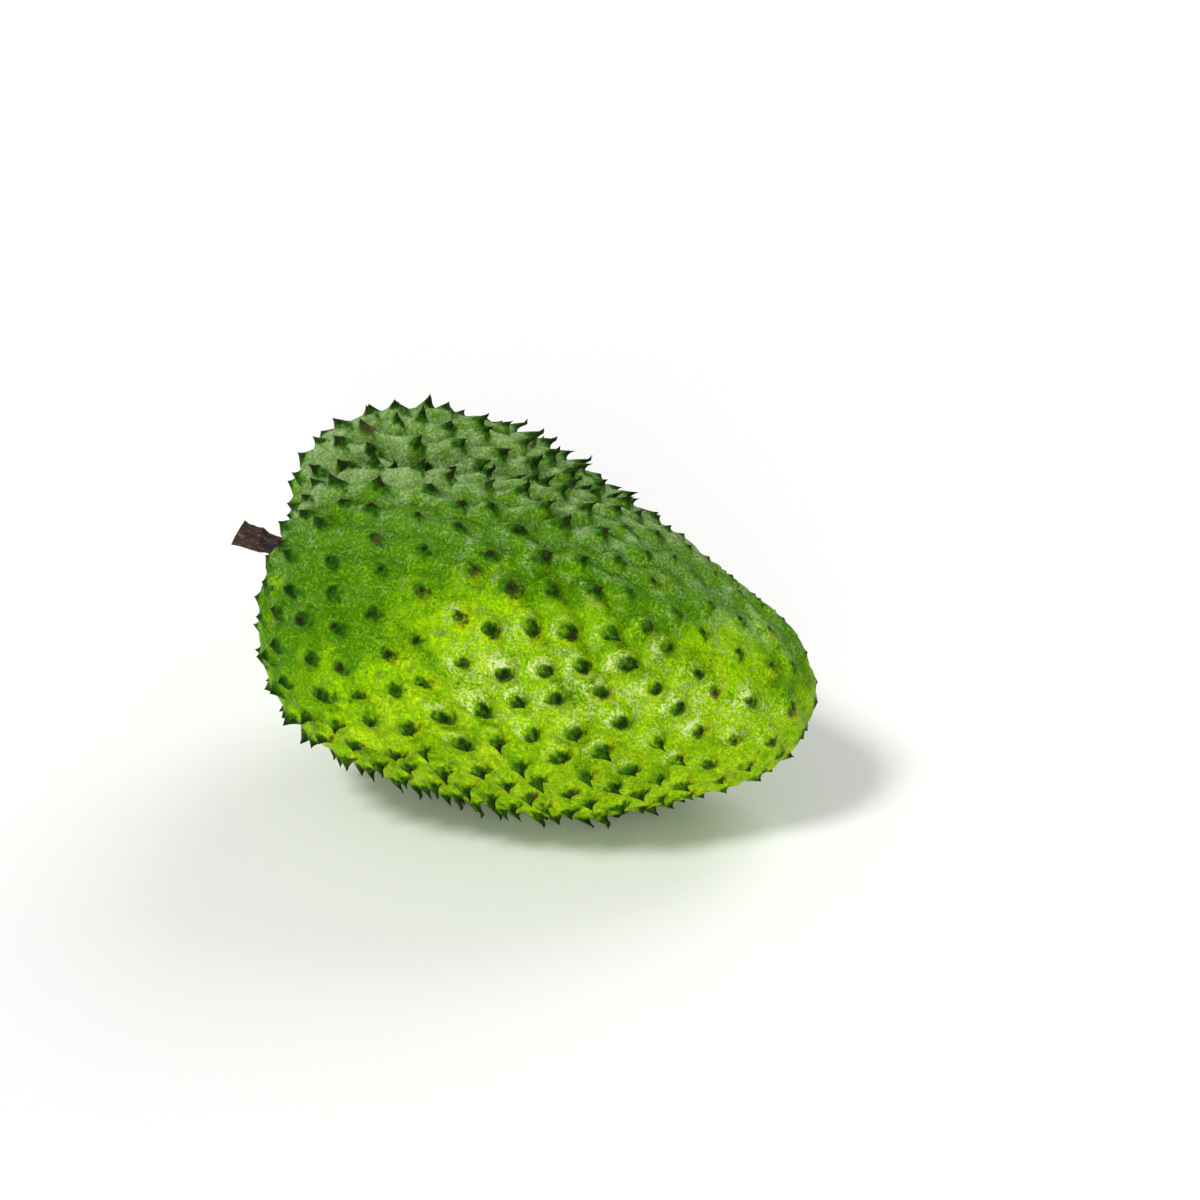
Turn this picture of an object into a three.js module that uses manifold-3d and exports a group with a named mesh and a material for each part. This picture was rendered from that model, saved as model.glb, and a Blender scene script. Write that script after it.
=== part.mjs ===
// Soursop (Annona muricata): one whole ripe fruit lying on its underside, with the stub of woody stem
// that it was picked by.
//
// Millimetres, +Z up. The origin is the centre of the small flat spot that the fruit rests on. +X runs
// from the stem end towards the blossom end, and the plumper flank faces -Y.

import * as THREE from "three";
import { mergeVertices } from "three/addons/utils/BufferGeometryUtils.js";
import Module from "manifold-3d";

const wasm = await Module();
wasm.setup();

// ---------------------------------------------------------------- driving dimensions

// The fruit is seven swellings that grew into each other. Each is an ellipsoid: its centre, its
// half-axes and its turn about X, Y and Z in degrees.
const SWELLINGS = [
  { part: "front flank", centre: [3.5, -11.5, 56.5], half: [81.5, 55.5, 55.5], turn: [0, 12, 5] },
  { part: "blossom end", centre: [71.5, -7.5, 45.5], half: [29, 29, 29], turn: [0, 0, 0] },
  { part: "stem shoulder", centre: [-52, -11, 79.5], half: [34.5, 34.5, 34.5], turn: [0, 0, 0] },
  { part: "lower shoulder", centre: [-48.5, -22.5, 63], half: [40.5, 40.5, 40.5], turn: [0, 0, 0] },
  { part: "back lobe", centre: [-28, 37, 64.5], half: [73.5, 45, 47.5], turn: [0, 30, 1] },
  { part: "back lobe's tail", centre: [16.5, 24, 65], half: [36, 26, 26], turn: [0, 25, 12] },
  { part: "belly", centre: [-26, 13, 43.5], half: [56, 42, 40], turn: [0, 0, 5] },
];
const BLEND = 8; // how far the swellings run into each other
const CORE = new THREE.Vector3(-8, 0, 66); // every ray from here leaves the fruit once
const FAR = 170; // past every ray's end
const HALVINGS = 22; // of the stretch that a ray's end is looked for in
const AXIS = new THREE.Vector3(188, -1, -39).normalize(); // from the stem end to the blossom end
const RIND_DETAIL = 8; // splits of each icosahedron edge
const RIND_STRETCH = 1.5; // more of the rind's facets go to its two far ends

const SPINE_RADIUS = 3.3;
const SPINE_STRETCH = 1.3; // a spine's foot is longer along the fruit than across it
const SPINE_HEIGHT = 5.8;
const SPINE_SIDES = 4;
const SPINE_ROOT = 1.6; // how deep a spine's foot sits in the rind
const SPACING = 11.3; // between spines where they stand closest
// Where the rind swelled and drew its spines apart: the roll it faces, in degrees up from -Y round the
// axis, its place along the axis from the core, its width in degrees, its length and how much it adds.
const SWOLLEN = [
  { part: "flank's shoulder", roll: 28, along: -30, width: 48, length: 40, adds: 6.8 },
  { part: "flank's blossom end", roll: 25, along: 88, width: 60, length: 28, adds: 5.5 },
  { part: "flank's crest", roll: 62, along: 60, width: 25, length: 34, adds: 6.5 },
  { part: "back lobe's crown", roll: 118, along: -38, width: 48, length: 36, adds: 2.6 },
  { part: "underside", roll: -140, along: 0, width: 55, length: 90, adds: 2.5 },
];
const SETTLING = 12; // rounds of crowded spines pushing each other apart
const SPINE_UNEVEN = 0.16; // share of the height by which spines differ
const SPINE_WAVE = 2.7; // radians from one spine's difference to the next one's
const LEAN_AT_STEM = -0.3; // sideways run of a spine's tip for each millimetre of its height
const LEAN_ON_FLANKS = 0.7;
const LEAN_TURNS = [-88, -18]; // along the axis from the core, between the two leans
const GROWTH = new THREE.Vector3(188, -20, -75).normalize(); // where the spines' tips point
const SHORTER_BY = 0.4; // share of the height that spines lose at the blossom end
const SHORTENS = [45, 95]; // along the axis from the core
const WEAKER_BY = 0.4; // share of the height that spines lose where the rind swelled
const WEAKENS = [13.2, 17.2]; // spacings between full and weakest spines

const STEM_RADIUS = 3.2;
const STEM_LENGTH = 17.5; // outside the fruit
const STEM_SOCKET = 6; // inside the fruit
const STEM_BEND = 1.2; // how far its cut end is lifted off a straight line
const STEM_SLANT = 0.3; // slope of the cut across its end
const STEM_SIDES = 12;
const STEM_GAP = 0.3; // all round, between the stem and its socket
// Heights above the rind, and the stem's radius there as a share of STEM_RADIUS.
const STEM_PROFILE = [
  [-STEM_SOCKET, 0.95],
  [-2.4, 1.15],
  [0.8, 1.5], // its spread foot
  [3.5, 1.1],
  [6, 1],
  [8.7, 1.25], // the bud scar
  [11, 1.12],
  [15, 1.3],
  [STEM_LENGTH, 1.45], // the flared cut end
];

// ---------------------------------------------------------------- the rind's shape

// How far a point is outside one swelling, in millimetres, and less than zero inside it.
const swellings = SWELLINGS.map(({ centre, half, turn }) => {
  const angles = turn.map(THREE.MathUtils.degToRad);
  return {
    toSwelling: new THREE.Matrix4()
      .makeRotationFromEuler(new THREE.Euler(...angles, "ZYX"))
      .setPosition(...centre)
      .invert(),
    half: new THREE.Vector3(...half),
  };
});
function depthOutside(point, { toSwelling, half }) {
  const scaled = point.clone().applyMatrix4(toSwelling).divide(half);
  const reach = scaled.length();
  return (reach * (reach - 1)) / (scaled.divide(half).length() + 1e-9);
}

// The smooth union of the swellings: zero on the rind.
function rindField(point) {
  const sum = swellings.reduce((total, s) => total + Math.exp(-depthOutside(point, s) / BLEND), 0);
  return -BLEND * Math.log(sum + 1e-30);
}

// The point where a ray from the core leaves the fruit.
function onRind(direction) {
  let inside = 0;
  let outside = FAR;
  for (let step = 0; step < HALVINGS; step += 1) {
    const middle = (inside + outside) / 2;
    if (rindField(CORE.clone().addScaledVector(direction, middle)) < 0) inside = middle;
    else outside = middle;
  }
  return CORE.clone().addScaledVector(direction, inside);
}

function rindNormal(point) {
  const step = 0.5;
  const slope = (axis) => {
    const shift = new THREE.Vector3().setComponent(axis, step);
    return rindField(point.clone().add(shift)) - rindField(point.clone().sub(shift));
  };
  return new THREE.Vector3(slope(0), slope(1), slope(2)).normalize();
}

// ---------------------------------------------------------------- where the spines grow

const RINGS = 60;
const RING_CELLS = 72;
const HEXAGON = Math.sqrt(3) / 2; // area per spine in a hexagonal lattice of unit spacing
const GOLDEN = (Math.sqrt(5) - 1) / 2;
const CROWDED = 1.12; // neighbours push at less than this many spacings
const PUSH = 0.22;
const FRONT = new THREE.Vector3(0, -1, 0).addScaledVector(AXIS, AXIS.y).normalize();
const TOP = new THREE.Vector3().crossVectors(FRONT, AXIS);

// The direction at a polar angle from the stem end and a roll from -Y upwards, round the axis.
function directionAt(polar, roll) {
  return AXIS.clone()
    .multiplyScalar(-Math.cos(polar))
    .addScaledVector(FRONT, Math.sin(polar) * Math.cos(roll))
    .addScaledVector(TOP, Math.sin(polar) * Math.sin(roll));
}

// How far apart the spines want to stand at a point of the rind.
function spacingAt(point) {
  const arm = point.clone().sub(CORE);
  const roll = THREE.MathUtils.radToDeg(Math.atan2(arm.dot(TOP), arm.dot(FRONT)));
  return SWOLLEN.reduce((spacing, zone) => {
    const away = THREE.MathUtils.euclideanModulo(roll - zone.roll + 180, 360) - 180;
    const beyond = arm.dot(AXIS) - zone.along;
    return spacing + zone.adds * Math.exp(-((away / zone.width) ** 2) - (beyond / zone.length) ** 2);
  }, SPACING);
}

// A grid of rings round the axis that says how many spines belong in each of its cells.
function spineShares() {
  return Array.from({ length: RINGS }, (_, ring) => {
    const polar = ((ring + 0.5) * Math.PI) / RINGS;
    return Array.from({ length: RING_CELLS }, (_, cell) => {
      const direction = directionAt(polar, ((cell + 0.5) * 2 * Math.PI) / RING_CELLS);
      const point = onRind(direction);
      const slant = rindNormal(point).dot(direction);
      const spread = (point.distanceTo(CORE) ** 2 * Math.sin(polar)) / slant;
      const cellArea = spread * (Math.PI / RINGS) * ((2 * Math.PI) / RING_CELLS);
      return cellArea / (HEXAGON * spacingAt(point) ** 2);
    });
  });
}

const total = (shares) => shares.reduce((sum, share) => sum + share, 0);

// Where the running sum of the shares passes the wanted part of their total, from 0 to 1.
function quantile(shares, wanted) {
  const goal = wanted * total(shares);
  let passed = 0;
  for (let i = 0; i < shares.length; i += 1) {
    if (passed + shares[i] >= goal) return (i + (goal - passed) / shares[i]) / shares.length;
    passed += shares[i];
  }
  return 1;
}

// Each foot moves away from the neighbours that stand closer than the spacing there.
function settled(feet) {
  return feet.map((foot) => {
    const reach = CROWDED * spacingAt(foot);
    const push = new THREE.Vector3();
    feet.forEach((other) => {
      const gap = foot.distanceTo(other);
      if (gap > 0 && gap < reach) push.addScaledVector(foot.clone().sub(other), (PUSH * (reach - gap)) / gap);
    });
    return onRind(foot.clone().add(push).sub(CORE).normalize());
  });
}

// Spines stand in the spirals of a golden-angle lattice, shared out over the rind's area and settled.
// The lattice's first place, at its pole, belongs to the stem, which pushes but isn't pushed.
const stemFoot = onRind(AXIS.clone().negate());
function spineFeet() {
  const shares = spineShares();
  const ringTotals = shares.map(total);
  const count = Math.round(total(ringTotals));
  let feet = Array.from({ length: count }, (_, i) => {
    const along = quantile(ringTotals, (i + 0.5) / count);
    const ring = Math.min(Math.floor(along * RINGS), RINGS - 1);
    const roll = quantile(shares[ring], (i * GOLDEN) % 1) * 2 * Math.PI;
    return onRind(directionAt(along * Math.PI, roll));
  });
  for (let round = 0; round < SETTLING; round += 1) {
    feet[0] = stemFoot;
    feet = settled(feet);
  }
  return feet.slice(1);
}

// ---------------------------------------------------------------- solids

function solidOf(geometry) {
  const bare = geometry.clone();
  bare.deleteAttribute("normal");
  bare.deleteAttribute("uv");
  const merged = mergeVertices(bare, 1e-4);
  return new wasm.Manifold(
    new wasm.Mesh({
      numProp: 3,
      vertProperties: new Float32Array(merged.attributes.position.array),
      triVerts: new Uint32Array(merged.index.array),
    }),
  );
}

function meshOf(name, solid, material) {
  const { vertProperties, triVerts } = solid.getMesh();
  const geometry = new THREE.BufferGeometry();
  geometry.setAttribute("position", new THREE.BufferAttribute(vertProperties, 3));
  geometry.setIndex(new THREE.BufferAttribute(triVerts, 1));
  geometry.computeVertexNormals();
  const mesh = new THREE.Mesh(geometry, material);
  mesh.name = name;
  return mesh;
}

function bareFruit() {
  const geometry = new THREE.IcosahedronGeometry(1, RIND_DETAIL);
  const places = geometry.attributes.position;
  for (let i = 0; i < places.count; i += 1) {
    const direction = new THREE.Vector3().fromBufferAttribute(places, i);
    direction.addScaledVector(AXIS, (RIND_STRETCH - 1) * direction.dot(AXIS)).normalize();
    places.setXYZ(i, ...onRind(direction));
  }
  return solidOf(geometry);
}

// One spine: a cone that leans along the fruit, back over the stem end and forward over the rest, and
// is lower at the blossom end and where the rind swelled.
function spine(foot, index) {
  const normal = rindNormal(foot);
  const forward = GROWTH.clone().addScaledVector(normal, -GROWTH.dot(normal)).normalize();
  const across = new THREE.Vector3().crossVectors(forward, normal);
  const along = foot.clone().sub(CORE).dot(AXIS);
  const turned = THREE.MathUtils.smoothstep(along, ...LEAN_TURNS);
  const lean = THREE.MathUtils.lerp(LEAN_AT_STEM, LEAN_ON_FLANKS, turned);
  const taper = 1 - SHORTER_BY * THREE.MathUtils.smoothstep(along, ...SHORTENS);
  const vigour = 1 - WEAKER_BY * THREE.MathUtils.smoothstep(spacingAt(foot), ...WEAKENS);
  const height = SPINE_HEIGHT * taper * vigour * (1 + SPINE_UNEVEN * Math.sin(index * SPINE_WAVE));
  const tip = normal.clone().multiplyScalar(height + SPINE_ROOT).addScaledVector(forward, lean * height);
  forward.multiplyScalar(SPINE_RADIUS * SPINE_STRETCH);
  across.multiplyScalar(SPINE_RADIUS);
  const root = foot.clone().addScaledVector(normal, -SPINE_ROOT);
  const geometry = new THREE.ConeGeometry(1, 1, SPINE_SIDES).translate(0, 0.5, 0);
  geometry.applyMatrix4(new THREE.Matrix4().makeBasis(forward, tip, across).setPosition(root));
  return solidOf(geometry);
}

// The stem: a turned profile with a spread foot, a bud scar part way and a flared, slanting cut end,
// bent a little and laid out along the fruit's axis. Grown by a gap all round, it is the socket.
function stem(gap) {
  const outline = STEM_PROFILE.map(([height, share]) => new THREE.Vector2(share * STEM_RADIUS + gap, height));
  const root = outline.at(0);
  const end = outline.at(-1);
  root.y -= gap;
  end.y += gap;
  const profile = [new THREE.Vector2(0, root.y), ...outline, new THREE.Vector2(0, end.y)];
  const geometry = new THREE.LatheGeometry(profile, STEM_SIDES);
  const places = geometry.attributes.position;
  for (let i = 0; i < places.count; i += 1) {
    const out = Math.max(places.getY(i), 0) / STEM_LENGTH;
    places.setX(i, places.getX(i) + STEM_BEND * out ** 2);
    places.setY(i, places.getY(i) - STEM_SLANT * places.getX(i) * out ** 4);
  }
  const outward = AXIS.clone().negate();
  const side = new THREE.Vector3(0, 0, 1).addScaledVector(outward, -outward.z).normalize();
  geometry.applyMatrix4(
    new THREE.Matrix4()
      .makeBasis(side, outward, new THREE.Vector3().crossVectors(side, outward))
      .setPosition(stemFoot),
  );
  return solidOf(geometry);
}

// The half of space above the table, big enough for the whole fruit.
function aboveTable() {
  const reach = 400;
  return solidOf(new THREE.BoxGeometry(reach, reach, reach).translate(0, 0, reach / 2));
}

// ---------------------------------------------------------------- the assembly

const rind = new THREE.MeshStandardMaterial({ color: 0x6d9a1c, roughness: 0.5, metalness: 0 });
const bark = new THREE.MeshStandardMaterial({ color: 0x4f3a2a, roughness: 0.85, metalness: 0 });

const fruit = spineFeet()
  .map(spine)
  .reduce((whole, one) => whole.add(one), bareFruit())
  .intersect(aboveTable())
  .subtract(stem(STEM_GAP));

const soursop = new THREE.Group();
soursop.add(meshOf("fruit", fruit, rind));
soursop.add(meshOf("stem", stem(0), bark));

export default soursop;
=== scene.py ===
"""A whole ripe soursop: the spiny rind and the woody stub of stem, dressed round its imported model.

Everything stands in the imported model's frame: metres, +Z up, the origin at the centre of the flat spot
that the fruit rests on, +X from the stem end towards the blossom end. The fruit's form is worked out in
millimetres from its driving dimensions, and turned to metres where a mesh is made.
"""

import logging
import math
from dataclasses import dataclass, field
from enum import Enum

import bmesh
import bpy
import numpy as np
from bpy.types import ID, Material, Node, NodeSocket, NodeTree, Object
from mathutils import Euler, Matrix, Vector, noise


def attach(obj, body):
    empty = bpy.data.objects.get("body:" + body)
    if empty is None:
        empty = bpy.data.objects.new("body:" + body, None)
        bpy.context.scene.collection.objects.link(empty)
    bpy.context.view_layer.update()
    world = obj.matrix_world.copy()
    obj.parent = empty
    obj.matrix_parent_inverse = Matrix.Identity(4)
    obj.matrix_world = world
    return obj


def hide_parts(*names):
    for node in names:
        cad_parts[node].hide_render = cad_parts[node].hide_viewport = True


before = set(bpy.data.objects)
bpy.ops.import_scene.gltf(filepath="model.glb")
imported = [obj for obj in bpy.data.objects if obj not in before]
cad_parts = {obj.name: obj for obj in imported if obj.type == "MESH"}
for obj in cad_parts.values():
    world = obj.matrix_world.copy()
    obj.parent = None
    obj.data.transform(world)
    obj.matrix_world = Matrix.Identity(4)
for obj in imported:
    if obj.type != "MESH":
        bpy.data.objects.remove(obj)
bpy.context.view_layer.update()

LOG = logging.getLogger("soursop")
BELOW, ABOVE = 6, 7  # the inputs of a Mix node for its two colours
MM = 0.001
TINY = 1e-9  # keeps a division off zero


class Slot(Enum):
    """The record's material slots."""

    RIND = "rind"
    BARK = "bark"


def linear(code: str) -> tuple[float, float, float, float]:
    """Turn an sRGB hex colour into the linear one that a shader takes.

    Args:
        code: six hex digits, such as "7ba514".

    Returns:
        Red, green, blue and an alpha of 1, linear.
    """
    shares = [int(code[i : i + 2], 16) / 255 for i in (0, 2, 4)]
    red, green, blue = (s / 12.92 if s <= 0.04045 else ((s + 0.055) / 1.055) ** 2.4 for s in shares)
    return red, green, blue, 1.0


def add(
    tree: NodeTree, kind: str, feeds: dict[str | int, object] | None = None, **settings: object
) -> Node:
    """Add a node to a tree, set it up and feed its inputs.

    Args:
        tree: the shader or geometry tree.
        kind: the node's type name.
        feeds: input name or number to the socket or node that feeds it, or to its constant value. A
            node feeds its first output.
        settings: the node's own properties.

    Returns:
        The new node.
    """
    made = tree.nodes.new(kind)
    for name, value in settings.items():
        setattr(made, name, value)
    for key, source in (feeds or {}).items():
        if isinstance(source, Node):
            source = next(output for output in source.outputs if output.enabled)
        if isinstance(source, NodeSocket):
            tree.links.new(source, made.inputs[key])
        else:
            made.inputs[key].default_value = source
    return made


def stand(name: str, data: ID) -> Object:
    """Put an object into the scene.

    Args:
        name: what it is called.
        data: its mesh, lamp or camera.

    Returns:
        The object.
    """
    made = bpy.data.objects.new(name, data)
    bpy.context.scene.collection.objects.link(made)
    return made


def hoop(near: list, far: list) -> list[tuple]:
    """Join two rings of as many corners each.

    Args:
        near: one ring's corners.
        far: the other's.

    Returns:
        The corners of the faces between them.
    """
    ahead = [*range(1, len(near)), 0]
    return [(near[i], far[i], far[j], near[j]) for i, j in enumerate(ahead)]


def smooth(value: np.ndarray, low: float, high: float) -> np.ndarray:
    """Ease a value from 0 at low to 1 at high."""
    share = np.clip((value - low) / (high - low), 0, 1)
    return share * share * (3 - 2 * share)


def unit(vectors: np.ndarray) -> np.ndarray:
    """Scale vectors along the last axis to length 1."""
    return vectors / np.linalg.norm(vectors, axis=-1, keepdims=True)


# ---------------------------------------------------------------- the fruit's form, in millimetres


@dataclass(frozen=True)
class Swelling:
    """One of the ellipsoids that the fruit grew from.

    Args:
        centre: its middle, mm.
        half: its half-axes, mm.
        turn: its turn about X, Y and Z, degrees.
    """

    centre: tuple[float, float, float]
    half: tuple[float, float, float]
    turn: tuple[float, float, float] = (0.0, 0.0, 0.0)

    def depth(self, points: np.ndarray) -> np.ndarray:
        """Measure how far points are outside this swelling.

        Args:
            points: places in mm, shape (..., 3).

        Returns:
            The distances in mm, less than zero inside.
        """
        turned = np.array(Euler([math.radians(angle) for angle in self.turn]).to_matrix())
        scaled = (points - self.centre) @ turned / self.half
        reach = np.linalg.norm(scaled, axis=-1)
        return reach * (reach - 1) / (np.linalg.norm(scaled / self.half, axis=-1) + TINY)


@dataclass(frozen=True)
class Form:
    """The bare fruit under its spines: swellings that run into each other, seen from a core."""

    swellings: tuple[Swelling, ...] = (
        Swelling((3.5, -11.5, 56.5), (81.5, 55.5, 55.5), (0, 12, 5)),  # front flank
        Swelling((71.5, -7.5, 45.5), (29, 29, 29)),  # blossom end
        Swelling((-52, -11, 79.5), (34.5, 34.5, 34.5)),  # stem shoulder
        Swelling((-48.5, -22.5, 63), (40.5, 40.5, 40.5)),  # lower shoulder
        Swelling((-28, 37, 64.5), (73.5, 45, 47.5), (0, 30, 1)),  # back lobe
        Swelling((16.5, 24, 65), (36, 26, 26), (0, 25, 12)),  # back lobe's tail
        Swelling((-26, 13, 43.5), (56, 42, 40), (0, 0, 5)),  # belly
    )
    front_lobe: tuple[int, int] = (0, 4)  # the first of its swellings and the one past its last
    back_lobe: tuple[int, int] = (4, 6)
    blend: float = 8.0  # how far the swellings run into each other
    core: tuple[float, float, float] = (-8.0, 0.0, 66.0)  # every ray from here leaves the fruit once
    run: tuple[float, float, float] = (188.0, -1.0, -39.0)  # from the stem end to the blossom end
    growth: tuple[float, float, float] = (188.0, -20.0, -125.0)  # where the spines' tips point
    reach: float = 170.0  # farther from the core than any of the rind
    halvings: int = 22  # of the stretch in which a ray's end is looked for
    probe: float = 0.5  # how far to each side the rind's slope is felt

    @property
    def axis(self) -> np.ndarray:
        """The direction from the stem end to the blossom end."""
        return unit(np.array(self.run))

    @property
    def front(self) -> np.ndarray:
        """The direction square to the axis that is nearest to -Y."""
        return unit(np.array([0.0, -1.0, 0.0]) + self.axis * self.axis[1])

    @property
    def top(self) -> np.ndarray:
        """The direction square to the axis and to the front, upwards."""
        return np.cross(self.front, self.axis)

    def outside(self, points: np.ndarray, some: slice = slice(None)) -> np.ndarray:
        """Measure how far points are outside the bare fruit, or outside some of its swellings.

        Args:
            points: places in mm.
            some: which swellings count.

        Returns:
            About how far out each is, less than zero inside.
        """
        total = sum(np.exp(-swelling.depth(points) / self.blend) for swelling in self.swellings[some])
        return -self.blend * np.log(total)

    def beyond_front(self, points: np.ndarray) -> np.ndarray:
        """Measure how much nearer the back lobe points are than the front lobe, in mm."""
        front, back = (self.outside(points, slice(*lobe)) for lobe in (self.front_lobe, self.back_lobe))
        return front - back

    def on_rind(self, toward: np.ndarray) -> np.ndarray:
        """Find where rays from the core through some points leave the fruit.

        Args:
            toward: points in mm that the rays pass.

        Returns:
            The points on the rind.
        """
        core = np.array(self.core)
        rays = unit(toward - core)
        inside = np.zeros(rays.shape[:-1])
        beyond = np.full(rays.shape[:-1], self.reach)
        for _ in range(self.halvings):
            middle = (inside + beyond) / 2
            within = self.outside(core + rays * middle[..., None]) < 0
            inside = np.where(within, middle, inside)
            beyond = np.where(within, beyond, middle)
        return core + rays * inside[..., None]

    def normals(self, points: np.ndarray) -> np.ndarray:
        """Find which way the rind faces.

        Args:
            points: places on the rind, mm.

        Returns:
            Unit vectors pointing out.
        """
        steps = np.eye(3) * self.probe
        slopes = [self.outside(points + step) - self.outside(points - step) for step in steps]
        return unit(np.stack(slopes, -1))

    def forward(self, normals: np.ndarray) -> np.ndarray:
        """Find the way along the rind that tips point, for points that face along the normals."""
        growth = unit(np.array(self.growth))
        return unit(growth - (normals @ growth)[..., None] * normals)

    def along(self, points: np.ndarray) -> np.ndarray:
        """Measure how far points are from the core towards the blossom end, in mm."""
        return (points - np.array(self.core)) @ self.axis

    def roll(self, points: np.ndarray) -> np.ndarray:
        """Measure which way points lie round the axis, in degrees up from -Y."""
        arms = points - np.array(self.core)
        return np.degrees(np.arctan2(arms @ self.top, arms @ self.front))


def around(roll: np.ndarray, middle: float) -> np.ndarray:
    """Measure how far a roll is from a middle one, in degrees from -180 to 180."""
    return (roll - middle + 180) % 360 - 180


@dataclass(frozen=True)
class Span:
    """A stretch over which something comes in, or goes out if it runs downwards."""

    low: float
    high: float

    def share(self, value: np.ndarray) -> np.ndarray:
        """Ease from 0 at the low end to 1 at the high one."""
        return smooth(value, self.low, self.high)


@dataclass(frozen=True)
class Range:
    """How much there is of something where a share is none, and where it is full."""

    none: float
    full: float

    def at(self, share: np.ndarray) -> np.ndarray:
        """Go straight from one to the other as the share grows."""
        return self.none + (self.full - self.none) * share


@dataclass(frozen=True)
class Band:
    """A soft-edged band round a middle."""

    middle: float
    width: float

    def share(self, value: np.ndarray) -> np.ndarray:
        """Rise to 1 at the middle and fall away on both sides."""
        return np.exp(-(((value - self.middle) / self.width) ** 2))

    def round(self, roll: np.ndarray) -> np.ndarray:
        """Do the same for rolls, in degrees."""
        return np.exp(-((around(roll, self.middle) / self.width) ** 2))


@dataclass(frozen=True)
class Side:
    """One side of the fruit.

    Args:
        roll: which way its middle faces, degrees up from -Y round the axis.
        none: the cosine of the angle from there where it starts.
        full: the cosine where it is complete.
    """

    roll: float
    none: float
    full: float

    def share(self, roll: np.ndarray) -> np.ndarray:
        """Ease from 0 off the side to 1 on it."""
        return smooth(np.cos(np.radians(around(roll, self.roll))), self.none, self.full)


@dataclass(frozen=True)
class Swollen:
    """A part of the rind that swelled and drew its spines apart.

    Args:
        roll: which way it faces, degrees up from -Y round the axis.
        along: how far its middle is from the core towards the blossom end, mm.
        width: how wide it is, degrees.
        length: how long it is, mm.
        adds: how much it adds to the spacing, mm.
    """

    roll: float
    along: float
    width: float
    length: float
    adds: float


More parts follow.
